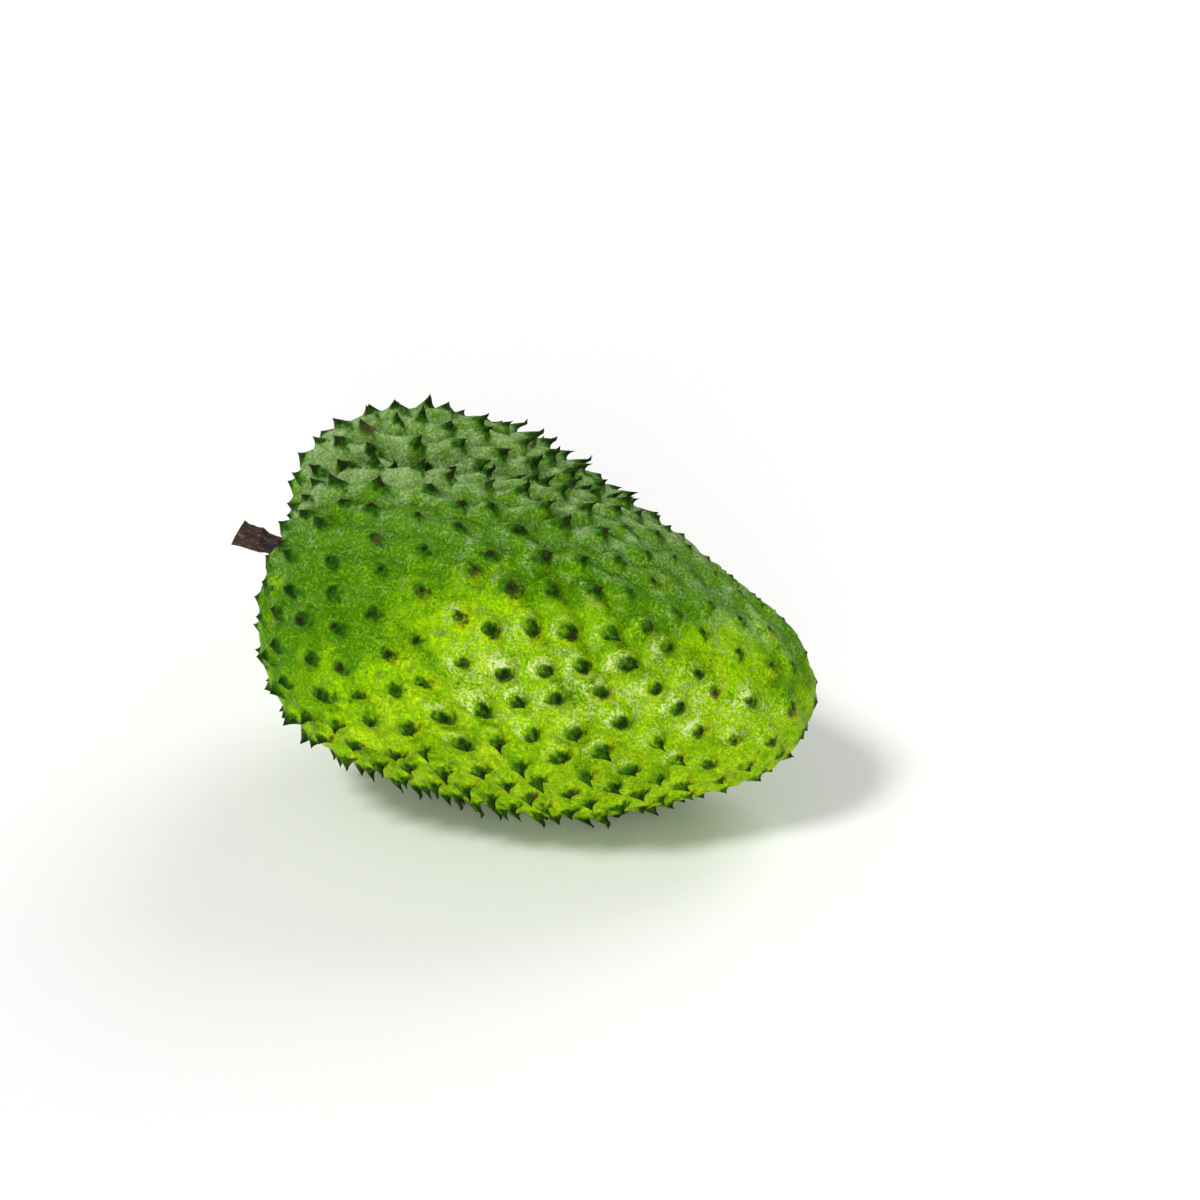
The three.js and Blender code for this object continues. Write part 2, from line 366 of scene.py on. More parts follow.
@dataclass
class SpineLattice:
    """Where the spines grow: a golden-angle lattice, shared out over the rind's area and settled."""

    form: Form = field(default_factory=Form)
    spacing: float = 11.3  # where the spines stand closest
    swollen: tuple[Swollen, ...] = (
        Swollen(28, -30, 48, 40, 6.8),  # the flank's shoulder
        Swollen(25, 88, 60, 28, 5.5),  # the flank's blossom end
        Swollen(62, 60, 25, 34, 6.5),  # the flank's crest
        Swollen(118, -38, 48, 36, 2.6),  # the back lobe's crown
        Swollen(-140, 0, 55, 90, 2.5),  # the underside
    )
    rings: int = 60
    ring_cells: int = 72
    settling: int = 12  # rounds in which crowded feet push each other apart
    crowded: float = 1.12  # neighbours push at less than this many spacings
    push: float = 0.22
    strays: float = 0.08  # of the spacing, how far a foot ends from its settled place
    seed: int = 3

    def direction(self, polar: np.ndarray, roll: np.ndarray) -> np.ndarray:
        """Turn angles into a direction from the core.

        Args:
            polar: angle from the stem end, radians.
            roll: angle up from -Y round the axis, radians.

        Returns:
            Unit vectors.
        """
        form = self.form
        across = np.cos(roll)[..., None] * form.front + np.sin(roll)[..., None] * form.top
        return np.sin(polar)[..., None] * across - np.cos(polar)[..., None] * form.axis

    def spacing_at(self, points: np.ndarray) -> np.ndarray:
        """Give how far apart the spines want to stand, in mm.

        Args:
            points: places on the rind, mm.

        Returns:
            The wanted spacings.
        """
        roll = self.form.roll(points)
        along = self.form.along(points)
        spacing = np.full(along.shape, self.spacing)
        for part in self.swollen:
            away = around(roll, part.roll) / part.width
            beside = (along - part.along) / part.length
            spacing += part.adds * np.exp(-(away**2) - beside**2)
        return spacing

    def shares(self) -> np.ndarray:
        """Work out how many spines belong in each cell of a grid of rings round the axis.

        Returns:
            The shares, one row a ring.
        """
        polar = (np.arange(self.rings) + 0.5) * math.pi / self.rings
        roll = (np.arange(self.ring_cells) + 0.5) * 2 * math.pi / self.ring_cells
        polar, roll = np.meshgrid(polar, roll, indexing="ij")
        rays = self.direction(polar, roll)
        points = self.form.on_rind(rays + np.array(self.form.core))
        slant = (self.form.normals(points) * rays).sum(-1)
        reach = np.linalg.norm(points - np.array(self.form.core), axis=-1)
        cell = math.pi / self.rings * 2 * math.pi / self.ring_cells
        area = reach**2 * np.sin(polar) / slant * cell
        return area / (math.sqrt(3) / 2 * self.spacing_at(points) ** 2)

    def settled(self, feet: np.ndarray) -> np.ndarray:
        """Move each foot away from the neighbours that crowd it.

        Args:
            feet: the spines' feet on the rind, mm.

        Returns:
            The feet after one round.
        """
        apart = feet[:, None] - feet[None]
        gap = np.linalg.norm(apart, axis=-1)
        np.fill_diagonal(gap, np.inf)
        short = np.clip(self.crowded * self.spacing_at(feet)[:, None] - gap, 0, None)
        pushes = (apart * (self.push * short / gap)[..., None]).sum(1)
        return self.form.on_rind(feet + pushes)

    def feet(self) -> np.ndarray:
        """Place every spine's foot.

        Returns:
            Points on the rind in mm. The first, at the lattice's pole, is the stem's.
        """
        shares = self.shares()
        count = round(shares.sum())
        golden = (math.sqrt(5) - 1) / 2
        wanted = (np.arange(count) + 0.5) / count
        edges = np.arange(self.rings + 1) / self.rings
        passed = np.concatenate([[0], np.cumsum(shares.sum(1))])
        polar = np.interp(wanted, passed / passed[-1], edges)
        ring_of = np.minimum((polar * self.rings).astype(int), self.rings - 1)
        cell_edges = np.arange(self.ring_cells + 1) / self.ring_cells
        roll = np.empty(count)
        for i, ring in enumerate(ring_of):
            passed = np.concatenate([[0], np.cumsum(shares[ring])])
            roll[i] = np.interp(i * golden % 1, passed / passed[-1], cell_edges)
        core = np.array(self.form.core)
        feet = self.form.on_rind(core + self.direction(polar * math.pi, roll * 2 * math.pi))
        stem_foot = self.form.on_rind(core - self.form.axis)
        for _ in range(self.settling):
            feet[0] = stem_foot
            feet = self.settled(feet)
        chance = np.random.default_rng(self.seed).normal(size=feet.shape)
        feet = self.form.on_rind(feet + chance * self.strays * self.spacing_at(feet)[:, None])
        feet[0] = stem_foot
        return feet


@dataclass(frozen=True)
class Places:
    """Where points of the rind lie on the fruit.

    Args:
        roll: degrees up from -Y round the axis.
        along: mm from the core towards the blossom end.
        beyond: how many mm nearer the back lobe than the front one.
        side: how far off the axis, from 0 to 1.
    """

    roll: np.ndarray
    along: np.ndarray
    beyond: np.ndarray
    side: np.ndarray


@dataclass(frozen=True)
class Zones:
    """How the rind differs from one part of the fruit to another, in the terms of Places."""

    lattice: SpineLattice
    ripe_top: float = -28.0  # the roll that ripeness reaches at the stem
    # How many degrees ripeness climbs from there, and over which stretches along the fruit.
    ripe_climbs: tuple[tuple[float, Span], ...] = ((68.0, Span(-68, -8)), (16.0, Span(30, 80)))
    ripe_fade: tuple[float, float] = (-34.0, 30.0)  # either side of that roll
    ripe_side: Side = Side(-30, -0.75, -0.1)
    painted_light_under: Band = Band(-60, 35)  # roll; the underside is painted lighter and yellower there, standing in for light
    ripe_at_tip: float = 0.6
    off_axis: Span = Span(6, 46)
    dull_side: Side = Side(108, 0.0, 0.85)
    swollen: Span = Span(13.4, 17.0)  # spacing of the spines, mm
    crease: float = -3.0  # beyond
    crease_widths: tuple[float, float] = (4.0, 10.0)  # on the front lobe's side and on the back one's
    crease_side: Side = Side(100, -0.3, 0.5)
    crease_fades: Span = Span(-60, 30)
    crease_faded: Range = Range(1.0, 0.38)  # where that is full
    hollow: Band = Band(0, 15)  # distance from the stem
    cork: Band = Band(-1, 4)  # beyond
    cork_side: Side = Side(90, 0.2, 0.7)
    cork_by_stem: Span = Span(-50, -78)
    cork_by_tail: Span = Span(12, 40)
    cork_ends: float = 75.0
    cork_most: tuple[float, float] = (0.8, 0.55)  # by the stem and by the tail
    lip: Band = Band(-13, 8)  # beyond
    lip_side: Side = Side(90, 0.34, 0.87)
    lip_fades: Span = Span(-62, -10)
    lip_faded: Range = Range(1.0, 0.3)  # where that is full
    back: Span = Span(-14, 6)  # beyond
    tail: Band = Band(66, 16)  # roll
    tail_starts: Span = Span(62, 88)
    stem_end: Band = Band(-82, 12)  # along
    stem_end_side: Side = Side(90, -0.42, 0.34)
    flank: Band = Band(12, 22)  # roll
    flank_starts: Span = Span(-28, 0)
    flank_off_axis: Range = Range(0.3, 1.0)  # with the distance from the axis
    # The next three set the painted highlights: pale specks where light would glint, by the spines and
    # between them.
    highlight_by_spines: Range = Range(0.25, 0.65)  # more of it on the flank
    highlight_between: tuple[float, float] = (0.4, 0.25)  # on the flank and on the lip
    highlight_on_spines: Range = Range(1.0, 0.15)  # with how spiny it is
    gold_ripens: Range = Range(0.3, 1.0)  # with lime
    groove_dulls: Range = Range(0.35, 1.0)  # with dullness
    ridge_dulls: Range = Range(0.65, 1.05)  # with dullness
    ridge_spread: Range = Range(1.0, 0.4)  # where the spines are far apart
    ridge_sheen_spread: Range = Range(1.0, 0.3)  # the same for the pale bloom and its painted sheen on the ridges
    # The under share paints the underside lighter and yellower, standing in for light that falls there.
    ripens: tuple[tuple[str, float], ...] = (("all", 0.44), ("dull", -0.3), ("lime", 0.5), ("under", 0.12))
    # Where the pale bloom lies: partly the rind's own bloom, partly painted sheen and highlight on the lip,
    # crest, ridges, tail and stem end.
    bloom_and_sheen_parts: tuple[tuple[str, float], ...] = (
        ("lip", 0.8),
        ("tail", 0.5),
        ("stem end", 0.4),
        ("ridges", 0.35),
        ("dull", 0.36),
        ("back", 0.26),
    )

    def facts(self, rind: np.ndarray, cell: dict[str, np.ndarray]) -> dict[str, np.ndarray]:
        """Work out the facts that depend on the place on the fruit.

        Args:
            rind: places on the rind, mm.
            cell: what is known at each from the cell that it is in.

        Returns:
            More facts, and those of the cells' that the place changes.
        """
        form = self.lattice.form
        roll, along, beyond = form.roll(rind), form.along(rind), form.beyond_front(rind)
        arms = rind - np.array(form.core)
        side = self.off_axis.share(np.linalg.norm(arms - along[:, None] * form.axis, axis=-1))
        at = Places(roll, along, beyond, side)
        dull = self.dull_side.share(roll) * side
        lime = self._lime(at)
        swollen = self.swollen.share(self.lattice.spacing_at(rind))
        from_stem = np.linalg.norm(rind - form.on_rind(np.array(form.core) - form.axis), axis=-1)
        lip = self.lip.share(beyond) * self.lip_side.share(roll)
        lip *= self.lip_faded.at(self.lip_fades.share(along))
        flank = self.flank.round(roll) * self.flank_starts.share(along) * self.flank_off_axis.at(side)
        flank_highlight, lip_highlight = self.highlight_between
        between = (flank_highlight * flank + lip_highlight * lip) * self.highlight_on_spines.at(np.clip(cell["spiny"], 0, 1))
        parts = {
            "all": 1.0,
            "dull": dull,
            "back": dull * self.back.share(beyond),
            "lime": lime,
            "under": self.painted_light_under.round(roll),
            "lip": lip,
            "tail": self.tail.round(roll) * self.tail_starts.share(along) * side,
            "stem end": self.stem_end.share(along) * self.stem_end_side.share(roll),
            "ridges": cell["ridge"] * dull * self.ridge_sheen_spread.at(swollen),
        }
        return {
            "ripe": sum(weight * parts[name] for name, weight in self.ripens),
            "bloomed": sum(weight * parts[name] for name, weight in self.bloom_and_sheen_parts),
            "crease": self._crease(at),
            "hollow": self.hollow.share(from_stem),
            "corky": self._cork(at),
            # painted highlights, by the spines and between them
            "waxy": self.highlight_by_spines.at(flank) * cell["spine_highlight"] + between,
            "golden": cell["golden"] * self.gold_ripens.at(lime),
            "groove": cell["groove"] * self.groove_dulls.at(dull),
            "ridge": cell["ridge"] * self.ridge_dulls.at(dull) * self.ridge_spread.at(swollen),
        }

    def _lime(self, at: Places) -> np.ndarray:
        """Work out how far the rind has turned lime.

        Args:
            at: the places on it.

        Returns:
            From 0 for leaf green to 1 for lime.
        """
        top = self.ripe_top + sum(climb * span.share(at.along) for climb, span in self.ripe_climbs)
        lime = 1 - smooth(around(at.roll, 0), top + self.ripe_fade[0], top + self.ripe_fade[1])
        lime *= self.ripe_side.share(at.roll)
        return self.ripe_at_tip + (lime - self.ripe_at_tip) * np.where(at.along > 0, at.side, 1)

    def _crease(self, at: Places) -> np.ndarray:
        """Work out how deep the crevice between the lobes is.

        Args:
            at: the places on the rind.

        Returns:
            From 0 off it to 1 at its deepest.
        """
        width = np.where(at.beyond < self.crease, *self.crease_widths)
        depth = np.exp(-(((at.beyond - self.crease) / width) ** 2))
        faded = self.crease_faded.at(self.crease_fades.share(at.along))
        return depth * faded * self.crease_side.share(at.roll)

    def _cork(self, at: Places) -> np.ndarray:
        """Work out where cork lines the crevice.

        Args:
            at: the places on the rind.

        Returns:
            From 0 for fresh rind to 1 for cork.
        """
        by_stem = self.cork_most[0] * self.cork_by_stem.share(at.along)
        by_tail = self.cork_most[1] * self.cork_by_tail.share(at.along) * (at.along < self.cork_ends)
        return self.cork.share(at.beyond) * self.cork_side.share(at.roll) * np.maximum(by_stem, by_tail)


# ---------------------------------------------------------------- finishes


@dataclass(frozen=True)
class Layer:
    """A colour that lies over those below it where something about the skin is high.

    Args:
        code: the colour's hex digits.
        fact: the skin's attribute, or else the noise, that says where it lies.
        low: the value of that from which it shows.
        high: the value at which it is at its most.
        most: how far it covers there.
        broken: how much of each noise swings the fact up and down, which makes the colour's edge ragged.
        within: another fact that the broken one is multiplied by.
    """

    code: str
    fact: str
    low: float
    high: float
    most: float = 1.0
    broken: dict[str, float] = field(default_factory=dict)
    within: str = ""


def stain(
    tree: NodeTree,
    colour: NodeSocket | tuple[float, ...],
    layers: tuple[Layer, ...],
    facts: dict[str, Node | NodeSocket],
) -> NodeSocket:
    """Lay layers over a colour, one after the other.

    Args:
        tree: the material's nodes.
        colour: the colour below, or what gives it.
        layers: the layers, the lowest first.
        facts: what gives each fact and each noise, by name.

    Returns:
        What gives the resulting colour.
    """
    for layer in layers:
        fact = facts[layer.fact]
        for name, amount in layer.broken.items():
            swing = {0: facts[name], 1: amount, 2: fact}
            swung = add(tree, "ShaderNodeMath", swing, operation="MULTIPLY_ADD")
            fact = add(tree, "ShaderNodeMath", {0: swung, 1: amount / 2}, operation="SUBTRACT")
        if layer.within:
            fact = add(tree, "ShaderNodeMath", {0: fact, 1: facts[layer.within]}, operation="MULTIPLY")
        span = {"From Min": layer.low, "From Max": layer.high, "To Max": layer.most}
        share = add(tree, "ShaderNodeMapRange", {"Value": fact} | span)
        feeds = {"Factor": share, BELOW: colour, ABOVE: linear(layer.code)}
        colour = add(tree, "ShaderNodeMix", feeds, data_type="RGBA").outputs[2]
    return colour


RIPENING = {"drift": 1.7, "blotch": 1.4, "pore": 0.8, "grain": 0.3}
SPINY_EDGE = {"pore": 1.6, "grain": 1.0}


@dataclass(frozen=True)
class GreenRind:
    """Fresh soursop rind: a thin waxy skin with a fine grain, that turns from green to lime as it ripens.

    Wax on a grained skin gives the eye small broken highlights and a pale bloom at the edges, painted
    into the colour here. The spines are darker and drier, and their tips are dead brown tissue.
    """

    base: str = "56821c"  # the dull green of the crest
    layers: tuple[Layer, ...] = (
        Layer("4b7d00", "ripe", 0.02, 0.34, broken=RIPENING),  # leaf green
        Layer("8cbc00", "ripe", 0.45, 0.95, broken=RIPENING),  # lime
        Layer("b4cf1a", "ripe", 0.86, 1.2, 0.62, {"patch": 1.3, "pore": 0.7, "grain": 0.5}),  # pale lime
        Layer("8cbc00", "grain", 0.52, 0.72, 0.3),  # a lime fleck
        Layer("c6cc00", "golden", 0.2, 0.9, 0.65, {"drift": 0.8, "pore": 0.9, "grain": 0.5}),  # gold
        Layer("1c4602", "blotch", 0.52, 0.72, 0.5),  # shade in the blotches
        Layer("1c4602", "groove", 0.45, 1.0, 0.5),  # shade between mounds
        Layer("1c4602", "crease", 0.3, 0.9, 0.8, {"pore": 0.6}),  # shade in the crevice
        Layer("9eb87a", "bloomed", 0.3, 1.05, 0.8, {"blotch": 1.8, "pore": 1.2, "grain": 0.9}),  # pale bloom, partly painted sheen and highlight
        Layer("2a5e04", "spiny", -0.08, 0.55, 0.95, SPINY_EDGE),  # a spine's skirt, reaching further on its far side from the stem as painted shade, with a painted shadow trailing past its foot
        Layer("132602", "spiny", 0.36, 1.0, broken=SPINY_EDGE),  # its flesh, darker on its far side from the stem as painted shade
        Layer("7d7034", "corky", 0.35, 0.8, 0.85, {"pore": 1.2, "grain": 0.8}),  # cork
        Layer("4b3b1c", "scarred", 0.45, 0.95, 0.75, {"pore": 1.2, "grain": 1.0}),  # a scar
        Layer("261d0e", "tip", 0.5, 0.95, broken={"pore": 1.0, "grain": 0.8}),  # a dead tip
    )
    # A painted highlight: pale specks where light would glint, on the stem side of the spines, on the flank
    # and on the lip.
    glint: Layer = Layer("d3e293", "grain", 0.18, 0.72, 0.8, {"blotch": 1.6, "pore": 2.0, "grain": 1.6}, "waxy")
    # Each noise's size and detail. The grain and the pores are drawn coarser than real ones, so that they
    # show.
    noises: tuple[tuple[str, float, float], ...] = (
        ("grain", 0.9 * MM, 2.0),
        ("pore", 1.9 * MM, 3.0),
        ("blotch", 6.0 * MM, 3.0),
        ("patch", 10.0 * MM, 2.0),
        ("drift", 22.0 * MM, 2.0),
    )
    brightness: tuple[str, Span, Range] = ("grain", Span(0.43, 0.75), Range(0.82, 1.65))
    roughness: tuple[str, Span, Range] = ("blotch", Span(0.35, 0.65), Range(0.34, 0.55))
    bumps: tuple[tuple[str, float, float], ...] = (  # strength and height
        ("pore", 0.7, 1.0 * MM),
        ("grain", 0.8, 0.7 * MM),
    )
    ior: float = 1.42  # wax
    specular: float = 0.05  # the bloom scatters most of the shine, and the highlights are painted into the colour

    @property
    def told(self) -> set[str]:
        """The names of the skin's attributes that the material reads."""
        noises = {name for name, _, _ in self.noises}
        return {layer.fact for layer in self.layers} - noises | {self.glint.within}

    def material(self) -> Material:
        """Build the rind's material.

        Returns:
            The material, which reads the skin's attributes and object coordinates.
        """
        made = bpy.data.materials.new("waxy_grained_rind")
        made.use_nodes = True
        tree = made.node_tree
        tree.nodes.clear()
        place = add(tree, "ShaderNodeTexCoord").outputs["Object"]
        noises = {
            name: add(tree, "ShaderNodeTexNoise", {"Vector": place, "Scale": 1 / size, "Detail": detail})
            for name, size, detail in self.noises
        }
        facts = noises | {
            name: add(tree, "ShaderNodeAttribute", attribute_name=name).outputs["Fac"]
            for name in sorted(self.told)
        }
        bright, rough = (
            add(
                tree,
                "ShaderNodeMapRange",
                {
                    "Value": noises[name],
                    "From Min": span.low,
                    "From Max": span.high,
                    "To Min": to.none,
                    "To Max": to.full,
                },
            )
            for name, span, to in (self.brightness, self.roughness)
        )
        colour = stain(tree, linear(self.base), self.layers, facts)
        colour = add(tree, "ShaderNodeHueSaturation", {"Color": colour, "Value": bright}).outputs[0]
        colour = stain(tree, colour, (self.glint,), facts)
        bump = None
        for name, strength, height in self.bumps:
            under = {"Normal": bump} if bump else {}
            feeds = {"Strength": strength, "Distance": height, "Height": noises[name]}
            bump = add(tree, "ShaderNodeBump", feeds | under)
        feeds = {"Base Color": colour, "Roughness": rough, "Normal": bump}
        feeds |= {"IOR": self.ior, "Specular IOR Level": self.specular}
        shader = add(tree, "ShaderNodeBsdfPrincipled", feeds)
        add(tree, "ShaderNodeOutputMaterial", {"Surface": shader})
        return made


@dataclass(frozen=True)
class DryBark:
    """Dry peduncle bark: fissured along the stem, matt, with corky grey ridges.

    The fissures run with the grain, so light catches long broken ridges and leaves dark cracks.
    """

    base: str = "3d2418"
    layers: tuple[Layer, ...] = (
        Layer("6e5140", "patches", 0.52, 0.7),  # cork on the ridges
        Layer("150b06", "grooves", 0.56, 0.44),  # shade in the cracks
    )
    fissure: tuple[float, float, float] = (1.3 * MM, 4.0, 0.65)  # size, detail and roughness
    patch: tuple[float, float] = (1.7 * MM, 3.0)  # size and detail
    stretch: float = 0.3  # how much slower the grooves change along the stem than across it
    bump: tuple[float, float] = (0.8, 0.6 * MM)  # strength and height
    roughness: float = 0.86

    def material(self) -> Material:
        """Build the bark's material.

        Returns:
            The material, whose fissures run along the stem by its object coordinates.
        """
        made = bpy.data.materials.new("fissured_dry_bark")
        made.use_nodes = True
        tree = made.node_tree
        tree.nodes.clear()
        place = add(tree, "ShaderNodeTexCoord").outputs["Object"]
        drawn = add(tree, "ShaderNodeMapping", {"Vector": place, "Scale": (self.stretch, 1, 1)})
        size, detail, rough = self.fissure
        feeds = {"Vector": drawn, "Scale": 1 / size, "Detail": detail, "Roughness": rough}
        grooves = add(tree, "ShaderNodeTexNoise", feeds)
        size, detail = self.patch
        feeds = {"Vector": place, "Scale": 1 / size, "Detail": detail}
        patches = add(tree, "ShaderNodeTexNoise", feeds)
        facts = {"grooves": grooves, "patches": patches}
        colour = stain(tree, linear(self.base), self.layers, facts)
        strength, height = self.bump
        bump = add(tree, "ShaderNodeBump", {"Strength": strength, "Distance": height, "Height": grooves})
        feeds = {"Base Color": colour, "Normal": bump, "Roughness": self.roughness}
        shader = add(tree, "ShaderNodeBsdfPrincipled", feeds)
        add(tree, "ShaderNodeOutputMaterial", {"Surface": shader})
        return made


@dataclass(frozen=True)
class PalePaper:
    """Matt white paper sweep under the fruit, which keeps its shadow soft and the studio bright."""

    white: str = "f4f4f2"
    roughness: float = 0.9

    def material(self) -> Material:
        """Build the floor's material.

        Returns:
            The material.
        """
        made = bpy.data.materials.new("matt_white_paper")
        made.use_nodes = True
        shader = made.node_tree.nodes["Principled BSDF"]
        shader.inputs["Base Color"].default_value = linear(self.white)
        shader.inputs["Roughness"].default_value = self.roughness
        return made


# ---------------------------------------------------------------- the fruit


@dataclass
class Cell:
    """The patch of rind that one spine, or the stem, stands in.

    Args:
        foot: where it stands, mm.
        edge: indices of the skin's vertices round it, anticlockwise from outside.
    """

    foot: np.ndarray
    edge: list[int]


@dataclass(frozen=True)
class Spine:
    """What one spine is like, as shares of a plain one. The stem's place has one that isn't living."""

    living: float
    vigour: float
    mound: float
    wide: float
    tall: float
    lean: float  # sideways run for each millimetre of height
    turned: float  # radians that it leans off the usual way
    dead: float  # how far down from the tip it has died, as a share of its foot
    scar: float
    gold: float
    # how much painted highlight it has
    glint: float


@dataclass(frozen=True)
class Growth:
    """How spines differ with their place on the fruit, and by chance.

    Rolls are degrees up from -Y round the axis, and places along it are mm from the core.
    """

    lattice: SpineLattice
    spread: Span = Span(13.4, 17.0)  # spacing, mm
    crest: Side = Side(100, 0.2, 0.8)
    crest_fades: Span = Span(-5, 65)
    under: Side = Side(-120, 0.45, 0.95)
    brow: Band = Band(-60, 26)  # roll
    brow_fades: Span = Span(85, 40)
    by_blossom: Span = Span(45, 95)
    by_stem: Span = Span(-58, -82)
    turning: Span = Span(-88, -18)
    spread_costs: Range = Range(1.0, 0.45)  # this and the next three multiply the vigour
    blossom_costs: Range = Range(1.0, 0.55)
    stem_costs: Range = Range(1.0, 0.65)
    under_costs: Range = Range(1.0, 0.55)
    crest_gains: Range = Range(0.4, -0.65)  # towards the blossom end
    brow_gains: float = 0.4
    low: Band = Band(-48, 40)  # roll where the mounds are low
    low_mounds: Range = Range(1.0, 0.45)
    leans: Range = Range(-0.4, 1.1)  # sideways run for each mm of height, at the stem and on the flanks
    lean_varies: Range = Range(0.8, 1.2)
    turns: Range = Range(-0.35, 0.35)  # radians
    widths: Range = Range(0.9, 1.3)  # by chance, as the heights are
    width_grows: Range = Range(0.5, 1.0)  # with vigour
    width_on_crest: Range = Range(1.0, 0.86)
    heights: Range = Range(0.62, 1.22)
    stunting: float = 0.3
    stunted_from: float = 0.88  # the chance above which a spine is stunted
    dead: tuple[float, float, float] = (0.38, 0.14, 0.24)  # plain, more where swollen, more on the crest
    scarred: Range = Range(0.04, 0.4)  # the share of spines with scars, plain and where swollen
    scars: Range = Range(0.35, 1.0)
    golden_from: float = 0.45
    # how much painted highlight each spine has, by chance
    glint_strengths: Range = Range(0.3, 1.0)

    def vigour(self, along: float, roll: float, spread: float) -> float:
        """Work out how well a spine grows at a place.

        Args:
            along: how far the place is along the fruit, mm.
            roll: which way it faces, degrees.
            spread: how far the rind swelled there, 0 to 1.

        Returns:
            Its vigour, 1 for a plain spine.
        """
        on_crest = self.crest_gains.at(self.crest_fades.share(along)) * self.crest.share(roll)
        on_brow = self.brow_gains * self.brow.round(roll) * self.brow_fades.share(along)
        return (
            self.spread_costs.at(spread)
            * self.blossom_costs.at(self.by_blossom.share(along))
            * self.stem_costs.at(self.by_stem.share(along))
            * self.under_costs.at(self.under.share(roll))
            * (1 + on_crest)
            * (1 + on_brow)
        )

    def spine(self, foot: np.ndarray, living: float, chance: np.ndarray) -> Spine:
        """Work out what the spine at a foot is like.

        Args:
            foot: where it stands, mm.
            living: 1 for a spine, 0 for the stem's place.
            chance: its own random numbers, 0 to 1.

        Returns:
            The spine.
        """
        along, roll = self.lattice.form.along(foot), self.lattice.form.roll(foot)
        spread = self.spread.share(self.lattice.spacing_at(foot[None])[0])
        crest = self.crest.share(roll)
        vigour = self.vigour(along, roll, spread)
        grown = self.width_grows.at(min(vigour, 1.0)) * self.width_on_crest.at(crest)
        height = self.heights.at(chance[1]) - self.stunting * (chance[2] > self.stunted_from)
        dead, dead_spread, dead_crest = self.dead
        has_scar = living * (chance[4] < self.scarred.at(spread))
        return Spine(
            living=living,
            vigour=vigour,
            mound=self.low_mounds.at(self.low.round(roll)),
            wide=self.widths.at(chance[0]) * grown,
            tall=living * height * vigour,
            lean=self.lean_varies.at(chance[4]) * self.leans.at(self.turning.share(along)),
            turned=self.turns.at(chance[3]),
            dead=dead + dead_spread * spread + dead_crest * crest,
            scar=has_scar * self.scars.at(chance[5]),
            gold=living * (chance[5] > self.golden_from),
            glint=living * self.glint_strengths.at(chance[3]),
        )


@dataclass(frozen=True)
class Marks:
    """What each point of a cell needs to know about the spine in it, and where each mark lies.

    Points run down the spine with "from tip" from 0 to 1, and then out to the cell's edge with "to edge"
    from 0 to 1. "Sternward" is 1 on the side towards the stem and -1 on the other.
    """

    skirt: tuple[float, float] = (2.4, 1.6)  # how the dark skirt fades, and how much slower sternward; its longer reach on the far side is painted shade
    # A painted shadow: a dark trail just past the spine's foot, on its side away from the stem.
    shadow_ends: Span = Span(0.4, 0.0)
    shadow_side: Span = Span(-0.35, -1.0)
    shadow_dark: float = 0.6
    tip_starts: float = 0.05
    close: Span = Span(0.9, 0.0)
    scar_ends: Span = Span(0.3, 0.0)
    gold_side: Span = Span(0.2, -0.9)
    # where a spine's painted highlight lies: on its stem side, near its foot
    glint_side: Span = Span(-0.4, 0.7)
    glint_starts: Span = Span(0.5, 1.0)
    mounds: Range = Range(0.4, 1.0)  # with vigour
    mound_most: float = 1.15
    strengths: Range = Range(0.6, 1.0)  # with vigour
    scar_turns: Range = Range(0.6, 0.2)  # from the sides to sternward

    def facts(
        self, spine: Spine, from_tip: np.ndarray, to_edge: np.ndarray, sternward: np.ndarray
    ) -> dict[str, np.ndarray]:
        """Work out what each point needs to know.

        Args:
            spine: the spine that stands in the cell.
            from_tip: how far down the spine each point is, 1 from its foot on.
            to_edge: how far from the spine's foot to the cell's edge each is.
            sternward: how much it lies on the side towards the stem.

        Returns:
            The facts by name.
        """
        fade, slower = self.skirt
        skirt = 1 - from_tip ** (fade - slower * sternward)
        painted_shadow = (from_tip == 1) * self.shadow_ends.share(to_edge) * self.shadow_side.share(sternward)
        strength = self.strengths.at(min(spine.vigour, 1.0))
        close = self.close.share(to_edge)
        glint = close * self.glint_side.share(sternward) * self.glint_starts.share(from_tip)
        same = np.ones_like(from_tip)
        return {
            "from_tip": from_tip,
            "to_edge": to_edge,
            "sternward": sternward,
            "tall": spine.tall * same,
            "lean": spine.lean * same,
            "turned": spine.turned * same,
            "mounded": spine.mound * self.mounds.at(min(spine.vigour, self.mound_most)) * same,
            "socket": (1 - spine.living) * same,
            # the spine's own dark colour, with painted shade and shadow on its side away from the stem
            "spiny": spine.living * (strength * skirt + self.shadow_dark * painted_shadow),
            "tip": spine.living * (1 - smooth(from_tip, self.tip_starts, spine.dead)),
            "scarred": spine.scar * self.scar_ends.share(to_edge) * self.scar_turns.at(sternward),
            "golden": spine.gold * close * self.gold_side.share(sternward),
            "spine_highlight": spine.glint * glint,
        }


